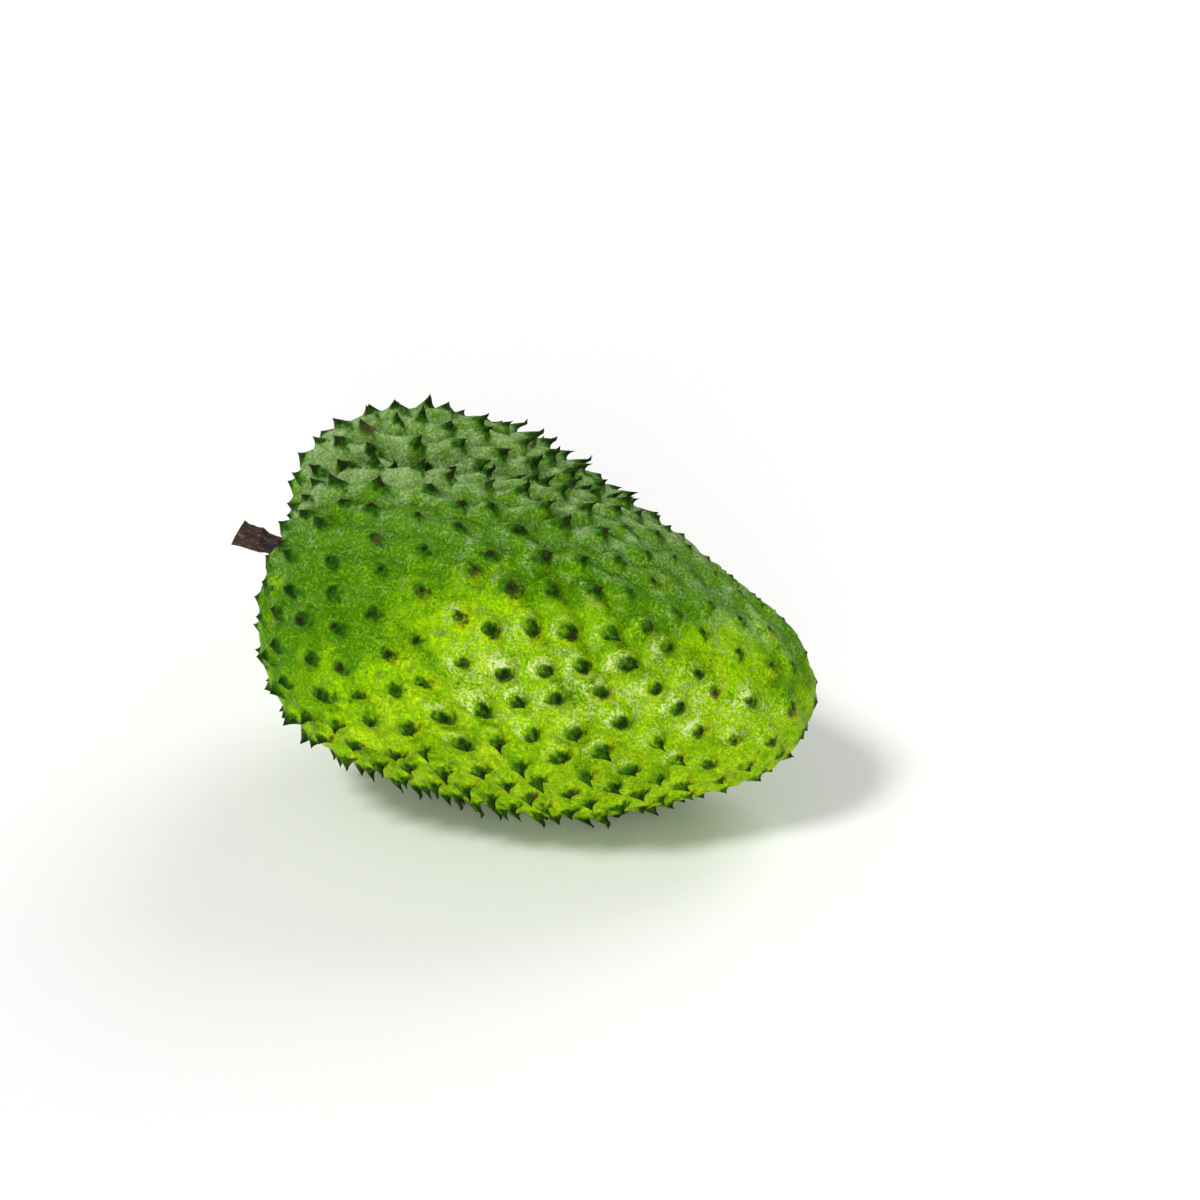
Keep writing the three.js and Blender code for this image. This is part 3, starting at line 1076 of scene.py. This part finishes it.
@dataclass
class SpinyFruit:
    """The fruit's skin: one closed sheet, laid out in a cell round each spine and raised by rule."""

    lattice: SpineLattice = field(default_factory=SpineLattice)
    finish: GreenRind = field(default_factory=GreenRind)
    edge_splits: int = 3
    spine_rings: tuple[float, ...] = (0.1, 0.22, 0.38, 0.58, 0.8, 1.0)
    skin_rings: tuple[float, ...] = (0.22, 0.48, 0.76)
    spine_radius: float = 3.1
    spine_stretch: float = 1.2  # along the fruit
    crowd_limit: float = 0.62  # how near a spine's foot may come to its cell's edge
    lopsided: tuple[float, float] = (0.17, 0.15)  # once and twice round the foot
    turned_most: tuple[float, float] = (2 * math.pi, 9.0)  # radians that chance turns each of those by
    groove_narrows: float = 1.5  # above 1, its shade keeps nearer to the cell's edge
    seed: int = 7
    chances: int = 6  # how many random numbers each spine has
    hull_half: tuple[float, float, float] = (98.0, 70.0, 62.0)  # half the fruit, to make a ball of it

    @property
    def form(self) -> Form:
        """The bare fruit that the spines stand on."""
        return self.lattice.form

    def build(self) -> Object:
        """Make the skin, raise its spines and dress it.

        Returns:
            The finished piece.
        """
        feet = self.lattice.feet()
        LOG.info("the rind grows %d spines", len(feet) - 1)
        points, ridges, cells = self._cells(feet)
        piece = self._skin(points, ridges, cells)
        self._raise_spines(piece)
        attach(piece, "root")
        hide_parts("fruit")
        return piece

    def _triangles(self, feet: np.ndarray) -> list[tuple[int, int, int]]:
        """Join neighbouring feet into triangles that cover the fruit.

        Args:
            feet: the feet, mm.

        Returns:
            Triples of indices, anticlockwise from outside.
        """
        shell = unit((feet - np.array(self.form.core)) / self.hull_half)
        mesh = bmesh.new()
        for point in shell:
            mesh.verts.new(point)
        mesh.verts.ensure_lookup_table()
        mesh.verts.index_update()
        bmesh.ops.convex_hull(mesh, input=list(mesh.verts))
        triangles = []
        for face in mesh.faces:
            a, b, c = (vertex.index for vertex in face.verts)
            outward = np.dot(np.cross(shell[b] - shell[a], shell[c] - shell[a]), shell[a]) > 0
            triangles.append((a, b, c) if outward else (a, c, b))
        mesh.free()
        return sorted(triangles)

    def _cells(self, feet: np.ndarray) -> tuple[np.ndarray, np.ndarray, list[Cell]]:
        """Share the rind out among the feet, with edges between the middles of their triangles.

        Args:
            feet: the feet, mm.

        Returns:
            The points along all the cells' edges on the rind, how much of a ridge crosses each, and
            the cells.
        """
        triangles = self._triangles(feet)
        middles = np.array([feet[list(corners)].mean(0) for corners in triangles])
        holder, third = {}, {}
        for number, (a, b, c) in enumerate(triangles):
            for first, second, other in ((a, b, c), (b, c, a), (c, a, b)):
                holder[first, second] = number
                third[first, second] = other
        rows = self._rows(feet, sorted(holder))
        points, ridges, between = list(middles), [0.0] * len(middles), {}
        for (a, b), number in sorted(holder.items()):
            if a < b:
                first, last = middles[number], middles[holder[b, a]]
                shares = np.arange(1, self.edge_splits) / self.edge_splits
                indices = list(range(len(points), len(points) + len(shares)))
                points.extend(first + (last - first) * share for share in shares)
                ridges.extend([float((a, b) in rows or (b, a) in rows)] * len(shares))
                between[number, holder[b, a]] = indices
                between[holder[b, a], number] = indices[::-1]
        starts = {a: b for a, b in sorted(holder, reverse=True)}
        cells = []
        for foot in range(len(feet)):
            edge, here = [], starts[foot]
            while True:
                ahead = third[foot, here]
                edge += [holder[foot, here], *between[holder[foot, here], holder[foot, ahead]]]
                here = ahead
                if here == starts[foot]:
                    break
            cells.append(Cell(feet[foot], edge))
        return self.form.on_rind(np.array(points)), np.array(ridges), cells

    def _rows(self, feet: np.ndarray, pairs: list[tuple[int, int]]) -> set[tuple[int, int]]:
        """Find which spines stand one behind the other along the fruit.

        Args:
            feet: the feet, mm.
            pairs: the neighbours.

        Returns:
            Pairs of feet with a ridge of skin between them.
        """
        forward = self.form.forward(self.form.normals(feet))
        best: dict[int, tuple[float, int]] = {}
        for a, b in pairs:
            inline = float(unit(feet[b] - feet[a]) @ forward[a])
            best[a] = max(best.get(a, (0.0, b)), (inline, b))
        return {(a, b) for a, (_, b) in best.items()}

    def _skin(self, edge_points: np.ndarray, ridges: np.ndarray, cells: list[Cell]) -> Object:
        """Make the bare skin with the rings that the spines are raised from.

        Args:
            edge_points: the points along the cells' edges, mm.
            ridges: how much of a ridge crosses each.
            cells: the cells.

        Returns:
            An object whose mesh carries, at each vertex, what the spines' rule needs.
        """
        points, count = [edge_points], len(edge_points)
        faces: list[tuple[int, ...]] = []
        zero, one = np.zeros(count), np.ones(count)
        facts = {"ridge": [ridges], "groove": [1 - ridges]}
        facts |= {name: [one] for name in ("from_tip", "to_edge", "mounded")}
        facts |= {name: [zero] for name in ("sternward", "tall", "lean", "turned", "socket")}
        facts |= {name: [zero] for name in ("spiny", "tip", "scarred", "golden", "spine_highlight")}
        chance = np.random.default_rng(self.seed).random((len(cells), self.chances))
        growth = Growth(self.lattice)
        for number, cell in enumerate(cells):
            spine = growth.spine(cell.foot, float(number > 0), chance[number])
            placed, told = self._cell_points(spine, cell, edge_points[cell.edge], chance[number])
            rings = len(placed) // len(cell.edge)
            told["ridge"] = np.concatenate([[0.0], np.tile(ridges[cell.edge], rings)])
            told["groove"] = (1 - told["ridge"]) * told["to_edge"] ** self.groove_narrows
            faces += self._cell_faces(count, len(cell.edge), cell.edge)
            points.append(placed)
            count += len(placed)
            for name, values in told.items():
                facts[name].append(values)
        rind = self.form.on_rind(np.concatenate(points))
        facts = {name: np.concatenate(values) for name, values in facts.items()}
        facts |= Zones(self.lattice).facts(rind, facts)
        mesh = bpy.data.meshes.new("fruit_skin")
        mesh.from_pydata((rind * MM).tolist(), [], faces)
        mesh.shade_smooth()
        normals = self.form.normals(rind)
        ahead = self.form.forward(normals)
        turned = facts.pop("turned")[:, None]
        facts["out"] = normals
        facts["forward"] = ahead * np.cos(turned) + np.cross(normals, ahead) * np.sin(turned)
        for name, values in facts.items():
            kind, part = ("FLOAT_VECTOR", "vector") if values.ndim == 2 else ("FLOAT", "value")
            layer = mesh.attributes.new(name, kind, "POINT")
            layer.data.foreach_set(part, values.astype(np.float32).ravel())
        return stand("fruit_skin", mesh)

    def _cell_points(
        self, spine: Spine, cell: Cell, edge: np.ndarray, chance: np.ndarray
    ) -> tuple[np.ndarray, dict[str, np.ndarray]]:
        """Lay out one cell's foot and rings.

        Args:
            spine: the spine that stands in it.
            cell: the cell.
            edge: the points round it, mm.
            chance: its own random numbers.

        Returns:
            The foot and then the rings' points, near the rind, and what each needs to know.
        """
        arms = edge - cell.foot
        reach = np.linalg.norm(arms, axis=-1)
        normal = self.form.normals(cell.foot[None])[0]
        forward = self.form.forward(normal[None])[0]
        heading = (arms @ forward) / reach
        turn = np.arctan2(arms @ np.cross(normal, forward), arms @ forward)
        once, twice = self.lopsided
        once_turned, twice_turned = self.turned_most[0] * chance[3], self.turned_most[1] * chance[1]
        oval = np.sqrt((self.spine_stretch * heading) ** 2 + (1 - heading**2))
        oval *= 1 + once * np.cos(turn - once_turned) + twice * np.cos(2 * turn - twice_turned)
        foot = np.minimum(self.spine_radius * spine.wide * oval, self.crowd_limit * reach)
        radii = [foot * share for share in self.spine_rings]
        radii += [foot + (reach - foot) * share for share in self.skin_rings]
        rings = [cell.foot + arms / reach[:, None] * radius[:, None] for radius in radii]
        outside, inside = [1.0] * len(self.skin_rings), [0.0] * len(self.spine_rings)
        from_tip = np.array([0.0, *np.repeat([*self.spine_rings, *outside], len(edge))])
        to_edge = np.array([0.0, *np.repeat([*inside, *self.skin_rings], len(edge))])
        sternward = np.array([0.0, *np.tile(-heading, len(rings))])
        points = np.concatenate([cell.foot[None], *rings])
        return points, Marks().facts(spine, from_tip, to_edge, sternward)

    def _cell_faces(self, start: int, sides: int, edge: list[int]) -> list[tuple[int, ...]]:
        """Join one cell's foot, rings and edge with faces.

        Args:
            start: the index of the foot.
            sides: how many points each ring has.
            edge: the indices round the cell.

        Returns:
            The faces, anticlockwise from outside.
        """
        ring_count = len(self.spine_rings) + len(self.skin_rings)
        rings = [[start + 1 + ring * sides + i for i in range(sides)] for ring in range(ring_count)]
        rings.append(edge)
        faces = [(start, rings[0][i], rings[0][(i + 1) % sides]) for i in range(sides)]
        for inner, outer in zip(rings, rings[1:]):
            faces += hoop(inner, outer)
        return faces

    def _raise_spines(self, piece: Object) -> None:
        """Run the spines' rule over the skin and keep the result as a plain mesh.

        Args:
            piece: the bare skin.
        """
        rule = SpineRule()
        modifier = piece.modifiers.new("spines", "NODES")
        modifier.node_group = rule.tree()
        values = {name: size * MM for name, size in rule.sizes} | {"Rind": self.finish.material()}
        for item in modifier.node_group.interface.items_tree:
            if item.in_out == "INPUT" and item.name in values:
                modifier[item.identifier] = values[item.name]
        bpy.context.view_layer.update()
        graph = bpy.context.evaluated_depsgraph_get()
        shaped = piece.evaluated_get(graph)
        mesh = bpy.data.meshes.new_from_object(shaped, preserve_all_data_layers=True, depsgraph=graph)
        piece.modifiers.clear()
        piece.data = mesh
        for name in sorted({*rule.amounts, *rule.ways} - self.finish.told):
            mesh.attributes.remove(mesh.attributes[name])


@dataclass(frozen=True)
class Sheet:
    """What the parts of a rule are drawn on.

    Args:
        tree: the tree of geometry nodes.
        sizes: its inputs.
        place: the vertex's position on the bare skin.
        told: what the skin's attributes say, by their names.
    """

    tree: NodeTree
    sizes: bpy.types.bpy_prop_collection
    place: Node
    told: dict[str, Node]


@dataclass(frozen=True)
class SpineRule:
    """The rule that raises the spines, as a tree of geometry nodes.

    A spine is a fleshy dome with a thin tip that leans along the fruit, on a mound that slopes gently
    on its stem side and steeply on the other. Ridges of skin join the mounds of a row. Spines that
    would meet the table are pressed into the rind.
    """

    sizes: tuple[tuple[str, float], ...] = (
        ("Spine Height", 3.9),
        ("Mound Height", 3.4),
        ("Ridge Height", 2.6),
        ("Crease Depth", 7.5),
        ("Hollow Depth", 8.5),
        ("Skin Drop", 1.7),
        ("Swell Height", 1.2),
        ("Swell Size", 26),
        ("Pucker Height", 0.8),
        ("Pucker Size", 5),
        ("Socket Depth", 3.2),
        ("Pressed Below", 7),
    )
    profile: tuple[tuple[float, float], ...] = (
        (0.0, 1.0),
        (0.1, 0.83),
        (0.22, 0.66),
        (0.38, 0.48),
        (0.58, 0.29),
        (0.8, 0.12),
        (1.0, 0.0),
    )
    hook: tuple[tuple[float, float], ...] = ((0.0, 0.0), (0.3, 0.2), (0.6, 0.5), (0.85, 0.8), (1.0, 1.0))
    amounts: tuple[str, ...] = (  # attributes of the skin that it reads
        "from_tip",
        "to_edge",
        "sternward",
        "tall",
        "lean",
        "mounded",
        "socket",
        "ridge",
        "crease",
        "hollow",
    )
    ways: tuple[str, ...] = ("out", "forward")  # those that are vectors
    mound_bend: float = 1.3  # how much longer a mound's slope is on its stem side
    mound_round: float = 1.4  # how fast a mound falls away from its spine
    most_pressed: float = 0.5  # mm above the table
    kept: float = 0.1  # the share of its height that a spine keeps there

    def tree(self) -> NodeTree:
        """Build the tree.

        Returns:
            A geometry node group with named inputs for its sizes.
        """
        tree = bpy.data.node_groups.new("raised_spines", "GeometryNodeTree")
        face = tree.interface
        face.new_socket("Geometry", in_out="INPUT", socket_type="NodeSocketGeometry")
        for name, _ in self.sizes:
            face.new_socket(name, in_out="INPUT", socket_type="NodeSocketFloat")
        face.new_socket("Rind", in_out="INPUT", socket_type="NodeSocketMaterial")
        face.new_socket("Geometry", in_out="OUTPUT", socket_type="NodeSocketGeometry")
        sizes = add(tree, "NodeGroupInput").outputs
        place = add(tree, "GeometryNodeInputPosition")
        told = {
            name: add(tree, "GeometryNodeInputNamedAttribute", {"Name": name}, data_type=kind)
            for kind, names in (("FLOAT", self.amounts), ("FLOAT_VECTOR", self.ways))
            for name in names
        }
        sheet = Sheet(tree, sizes, place, told)
        rise = self._spine_rise(sheet)
        lifted = add(tree, "ShaderNodeMath", {0: rise, 1: self._ground_rise(sheet)}, operation="ADD")
        run = self._run(sheet, rise)
        up = add(tree, "ShaderNodeVectorMath", {0: told["out"], "Scale": lifted}, operation="SCALE")
        over = add(tree, "ShaderNodeVectorMath", {0: told["forward"], "Scale": run}, operation="SCALE")
        shift = add(tree, "ShaderNodeVectorMath", {0: up, 1: over}, operation="ADD")
        moved = add(tree, "GeometryNodeSetPosition", {"Geometry": sizes["Geometry"], "Offset": shift})
        here = add(tree, "ShaderNodeSeparateXYZ", {0: add(tree, "GeometryNodeInputPosition")}).outputs
        above = add(tree, "ShaderNodeMath", {0: here[2], 1: 0.0}, operation="MAXIMUM")
        rested = add(tree, "ShaderNodeCombineXYZ", {0: here[0], 1: here[1], 2: above})
        laid = add(tree, "GeometryNodeSetPosition", {"Geometry": moved, "Position": rested})
        real = add(tree, "GeometryNodeRealizeInstances", {"Geometry": laid})
        dressed = add(tree, "GeometryNodeSetMaterial", {"Geometry": real, "Material": sizes["Rind"]})
        add(tree, "NodeGroupOutput", {0: dressed})
        return tree

    @staticmethod
    def _lined(node: Node, points: tuple[tuple[float, float], ...]) -> Node:
        """Lay a curve node's line through points.

        Args:
            node: the float curve node.
            points: the line's places, from 0 to 1 each way.

        Returns:
            The same node.
        """
        line = node.mapping.curves[0]
        while len(line.points) < len(points):
            line.points.new(0.5, 0.5)
        for spot, place in zip(line.points, points):
            spot.location = place
        node.mapping.update()
        return node

    def _spine_rise(self, sheet: Sheet) -> Node:
        """Work out how far the spine lifts the skin.

        Args:
            sheet: what it is drawn on.

        Returns:
            The node that gives the rise in metres.
        """
        tree, sizes, told = sheet.tree, sheet.sizes, sheet.told
        curve = add(tree, "ShaderNodeFloatCurve", {"Value": told["from_tip"]})
        shape = self._lined(curve, self.profile)
        full = add(tree, "ShaderNodeMath", {0: shape, 1: sizes["Spine Height"]}, operation="MULTIPLY")
        own = add(tree, "ShaderNodeMath", {0: full, 1: told["tall"]}, operation="MULTIPLY")
        free = add(
            tree,
            "ShaderNodeMapRange",
            {
                "Value": add(tree, "ShaderNodeSeparateXYZ", {0: sheet.place}).outputs[2],
                "From Min": self.most_pressed * MM,
                "From Max": sizes["Pressed Below"],
                "To Min": self.kept,
            },
            interpolation_type="SMOOTHSTEP",
        )
        return add(tree, "ShaderNodeMath", {0: own, 1: free}, operation="MULTIPLY")

    def _ground_rise(self, sheet: Sheet) -> Node:
        """Work out how the skin between the spines rises and falls.

        Args:
            sheet: what it is drawn on.

        Returns:
            The node that gives the rise in metres.
        """
        tree, sizes, told = sheet.tree, sheet.sizes, sheet.told
        bent = add(tree, "ShaderNodeMath", {0: told["sternward"], 1: self.mound_bend}, operation="MULTIPLY")
        power = add(tree, "ShaderNodeMath", {0: 2.0, 1: bent}, operation="POWER")
        eased = add(tree, "ShaderNodeMath", {0: told["to_edge"], 1: power}, operation="POWER")
        short = add(tree, "ShaderNodeMath", {0: 1.0, 1: eased}, operation="SUBTRACT")
        near = add(tree, "ShaderNodeMath", {0: short, 1: self.mound_round}, operation="POWER")
        far = add(tree, "ShaderNodeMath", {0: 1.0, 1: near}, operation="SUBTRACT")
        ridge = add(tree, "ShaderNodeMath", {0: far, 1: told["ridge"]}, operation="MULTIPLY")
        mound = add(tree, "ShaderNodeMath", {0: near, 1: told["mounded"]}, operation="MULTIPLY")
        total = add(tree, "ShaderNodeMath", {0: mound, 1: sizes["Mound Height"]}, operation="MULTIPLY")
        total = add(
            tree, "ShaderNodeMath", {0: ridge, 1: sizes["Ridge Height"], 2: total}, operation="MULTIPLY_ADD"
        )
        for kind, detail in (("Swell", 1.0), ("Pucker", 2.0)):
            often = add(tree, "ShaderNodeMath", {0: 2.0, 1: sizes[f"{kind} Size"]}, operation="DIVIDE")
            feeds = {"Vector": sheet.place, "Scale": often, "Detail": detail}
            waves = add(tree, "ShaderNodeTexNoise", feeds)
            centred = add(tree, "ShaderNodeMath", {0: waves, 1: 0.5}, operation="SUBTRACT")
            total = add(
                tree,
                "ShaderNodeMath",
                {0: centred, 1: sizes[f"{kind} Height"], 2: total},
                operation="MULTIPLY_ADD",
            )
        inward = add(tree, "ShaderNodeMath", {0: told["socket"], 1: near}, operation="MULTIPLY")
        total = add(tree, "ShaderNodeMath", {0: total, 1: sizes["Skin Drop"]}, operation="SUBTRACT")
        for name, share in (("Socket", inward), ("Crease", told["crease"]), ("Hollow", told["hollow"])):
            drop = add(tree, "ShaderNodeMath", {0: share, 1: sizes[f"{name} Depth"]}, operation="MULTIPLY")
            total = add(tree, "ShaderNodeMath", {0: total, 1: drop}, operation="SUBTRACT")
        return total

    def _run(self, sheet: Sheet, rise: Node) -> Node:
        """Work out how far the spine runs along the rind at its height.

        Args:
            sheet: what it is drawn on.
            rise: the spine's rise in metres.

        Returns:
            The node that gives the run towards the blossom end, in metres.
        """
        tree, height = sheet.tree, sheet.sizes["Spine Height"]
        share = add(tree, "ShaderNodeMath", {0: rise, 1: height}, operation="DIVIDE")
        curl = self._lined(add(tree, "ShaderNodeFloatCurve", {"Value": share}), self.hook)
        run = add(tree, "ShaderNodeMath", {0: curl, 1: sheet.told["lean"]}, operation="MULTIPLY")
        return add(tree, "ShaderNodeMath", {0: run, 1: height}, operation="MULTIPLY")


# ---------------------------------------------------------------- the stem


@dataclass(frozen=True)
class Stance:
    """Where the stem stands and which way it points."""

    foot: np.ndarray
    outward: np.ndarray

    def place(self, up: float, over: float, out: float) -> np.ndarray:
        """Find the place at some distances from the stem's foot.

        Args:
            up: how far towards the stem's upward side, mm.
            over: how far across it, mm.
            out: how far out along it, mm.

        Returns:
            The place in mm.
        """
        side = unit(np.array([0.0, 0.0, 1.0]) - self.outward[2] * self.outward)
        return self.foot + side * up + self.outward * out + np.cross(side, self.outward) * over


@dataclass(frozen=True)
class Bud:
    """The scar of a bud on the stem's upward side."""

    along: float = 8.7
    length: float = 1.5
    turn: float = 0.5  # half its width, radians round the stem
    rise: float = 1.1

    def swell(self, along: float, angle: float) -> float:
        """Give how far the bud lifts the bark at a place along and round the stem, in mm."""
        turn = angle if angle < math.pi else angle - 2 * math.pi
        return self.rise * math.exp(-(((along - self.along) / self.length) ** 2) - (turn / self.turn) ** 2)


@dataclass(frozen=True)
class Roughness:
    """Noise that lifts and sinks the bark.

    Args:
        height: how far it goes either way, mm.
        along: how fast it changes along the stem, each mm.
        round: how fast it changes round it.
        start: where in the noise it begins.
    """

    height: float
    along: float
    round: float
    start: float = 0.0

    def lift(self, along: float, angle: float) -> float:
        """Give the lift at a place along and round the stem, in mm."""
        across, up = math.cos(angle) * self.round, math.sin(angle) * self.round + self.start
        return self.height * noise.noise(Vector((along * self.along, across, up)))


@dataclass
class WoodyStem:
    """The stub of peduncle: fissured bark with a bud scar, a spread foot and a rough slanting end."""

    form: Form = field(default_factory=Form)
    finish: DryBark = field(default_factory=DryBark)
    bud: Bud = Bud()
    rough: tuple[Roughness, ...] = (Roughness(0.42, 0.16, 2.6), Roughness(0.22, 0.5, 6.0, 9.0))
    radius: float = 3.2
    length: float = 17.5
    buried: float = 9.0
    bend: float = 1.2
    slant: float = 0.3
    dish: float = 0.5  # how far the middle of the end is sunk, mm
    sides: int = 72
    steps: int = 70
    end_rings: tuple[float, ...] = (0.86, 0.62, 0.36, 0.14)
    end_rough: tuple[float, float] = (0.35, 1.1)  # how high its bumps are, mm, and how many to each mm
    widths: tuple[tuple[float, float], ...] = (
        (-9.0, 0.95),
        (-5.0, 1.05),
        (-1.5, 1.35),
        (2.0, 1.08),
        (6.0, 1.1),
        (8.7, 1.3),
        (11.0, 1.26),
        (15.0, 1.36),
        (17.5, 1.52),
    )

    def build(self) -> Object:
        """Make the stem and dress it.

        Returns:
            The finished piece.
        """
        outward = -self.form.axis
        stance = Stance(self.form.on_rind(np.array(self.form.core) + outward), outward)
        mesh = bmesh.new()
        rings = []
        for step in range(self.steps + 1):
            along = -self.buried + (self.length + self.buried) * step / self.steps
            ring = [self._bark(along, 2 * math.pi * i / self.sides, stance) for i in range(self.sides)]
            rings.append([mesh.verts.new(place) for place in ring])
        for lower, upper in zip(rings, rings[1:]):
            for face in hoop(lower, upper):
                mesh.faces.new(face)
        self._close(mesh, rings[0], -outward, 0.0)
        self._close(mesh, rings[-1], outward, self.dish)
        bmesh.ops.recalc_face_normals(mesh, faces=list(mesh.faces))
        data = bpy.data.meshes.new("stem_bark")
        mesh.to_mesh(data)
        mesh.free()
        data.transform(Matrix.Scale(MM, 4))
        data.shade_smooth()
        data.materials.append(self.finish.material())
        piece = stand("stem_bark", data)
        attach(piece, "root")
        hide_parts("stem")
        return piece

    def _bark(self, along: float, angle: float, stance: Stance) -> np.ndarray:
        """Place one point of the bark.

        Args:
            along: how far out along the stem, mm.
            angle: where it is round the stem, radians from its upward side.
            stance: where the stem stands.

        Returns:
            The point in mm.
        """
        places, widths = zip(*self.widths)
        radius = self.radius * float(np.interp(along, places, widths))
        radius += sum(wave.lift(along, angle) for wave in self.rough) + self.bud.swell(along, angle)
        out = max(along, 0) / self.length
        up = radius * math.cos(angle) + self.bend * out**2
        return stance.place(up, radius * math.sin(angle), along - self.slant * up * out**4)

    def _close(
        self, mesh: bmesh.types.BMesh, ring: list[bmesh.types.BMVert], way: np.ndarray, dish: float
    ) -> None:
        """Close an end of the stem with rings that run in to its middle.

        Args:
            mesh: the stem's mesh.
            ring: the end's vertices.
            way: the way the end faces.
            dish: how far its middle is sunk, mm.
        """
        middle = sum((vertex.co for vertex in ring), Vector()) / len(ring)
        high, often = self.end_rough
        outer = ring
        for share in self.end_rings:
            inner = []
            for vertex in ring:
                place = middle + (vertex.co - middle) * share
                lift = noise.noise(place * often) * high
                inner.append(mesh.verts.new(place - Vector(way) * (dish * (1 - share) - lift)))
            for face in hoop(outer, inner):
                mesh.faces.new(face)
            outer = inner
        centre = mesh.verts.new(middle - Vector(way) * dish)
        for i, vertex in enumerate(outer):
            mesh.faces.new((vertex, outer[(i + 1) % len(outer)], centre))


# ---------------------------------------------------------------- the studio


@dataclass(frozen=True)
class Lamp:
    """A soft light that falls evenly on the fruit and the floor.

    Args:
        name: what it does.
        place: the direction that it shines from.
        spread: how wide it looks from the fruit, degrees.
        power: its power, watts for each square metre.
    """

    name: str
    place: tuple[float, float, float]
    spread: float
    power: float

    def build(self) -> Object:
        """Hang the lamp.

        Returns:
            The lamp.
        """
        data = bpy.data.lights.new(self.name, "SUN")
        data.angle = math.radians(self.spread)
        data.energy = self.power
        lamp = stand(self.name, data)
        lamp.location = self.place
        lamp.rotation_euler = (-Vector(self.place)).to_track_quat("-Z", "Y").to_euler()
        return lamp


@dataclass(frozen=True)
class Studio:
    """A pale floor, soft lights and the camera. Distances are in mm."""

    turn: float = 12.0  # degrees that the camera stands round from -Y towards +X
    rise: float = 28.0  # degrees that it looks down
    distance: float = 900.0
    lens: float = 75.0
    sensor: float = 36.0
    sight: float = 50000.0  # how far the camera sees
    target: tuple[float, float, float] = (-1.5, 12.0, 59.5)
    aside: tuple[float, float] = (22.7, 4.3)  # from the target to the frame's middle, right and up
    floor_half: float = 15000.0
    lamps: tuple[Lamp, ...] = (
        Lamp("key", (-0.55, -0.5, 1.05), 14.0, 1.8),
        Lamp("front", (0.2, -1.3, 0.06), 45.0, 2.85),
        Lamp("back", (0.5, 1.1, 0.95), 35.0, 1.1),
    )
    air: float = 0.36

    def build(self) -> None:
        """Set up the camera, the floor, the lights and the air round them."""
        self._camera()
        self._floor()
        for lamp in self.lamps:
            lamp.build()
        world = bpy.data.worlds.new("studio_air")
        world.use_nodes = True
        background = world.node_tree.nodes["Background"].inputs
        background["Color"].default_value = (1.0, 1.0, 1.0, 1.0)
        background["Strength"].default_value = self.air
        bpy.context.scene.world = world
        bpy.context.scene.view_settings.view_transform = "Standard"

    def _camera(self) -> Object:
        """Stand the camera and make it the scene's.

        Returns:
            The camera.
        """
        turn, rise = math.radians(self.turn), math.radians(self.rise)
        level = Vector((-math.sin(turn), math.cos(turn), 0))
        ahead = level * math.cos(rise) - Vector((0, 0, math.sin(rise)))
        right = Vector((math.cos(turn), math.sin(turn), 0))
        target = Vector(self.target)
        place = target - ahead * self.distance
        aim = target + right * self.aside[0] + right.cross(ahead) * self.aside[1]
        data = bpy.data.cameras.new("camera")
        data.lens = self.lens
        data.sensor_width = self.sensor
        data.clip_end = self.sight * MM
        camera = stand("camera", data)
        camera.location = place * MM
        camera.rotation_euler = (aim - place).to_track_quat("-Z", "Y").to_euler()
        bpy.context.scene.camera = camera
        return camera

    def _floor(self) -> Object:
        """Lay the floor under the fruit.

        Returns:
            The floor.
        """
        half = self.floor_half * MM
        spots = [(-half, -half, 0), (half, -half, 0), (half, half, 0), (-half, half, 0)]
        data = bpy.data.meshes.new("floor")
        data.from_pydata(spots, [], [(0, 1, 2, 3)])
        data.materials.append(PalePaper().material())
        floor = stand("floor", data)
        return floor


def corners(box: tuple[Vector, Vector]) -> list[list[float]]:
    """Give a box's two corners as plain lists."""
    return [list(map(float, corner)) for corner in box]


def main() -> None:
    """Build the studio, the fruit and its stem."""
    logging.basicConfig(level=logging.INFO, format="%(name)s: %(message)s")
    Studio().build()
    for maker in (SpinyFruit(), WoodyStem()):
        piece = maker.build()
        LOG.info("%s has %d faces", piece.name, len(piece.data.polygons))


if __name__ == "__main__":
    main()
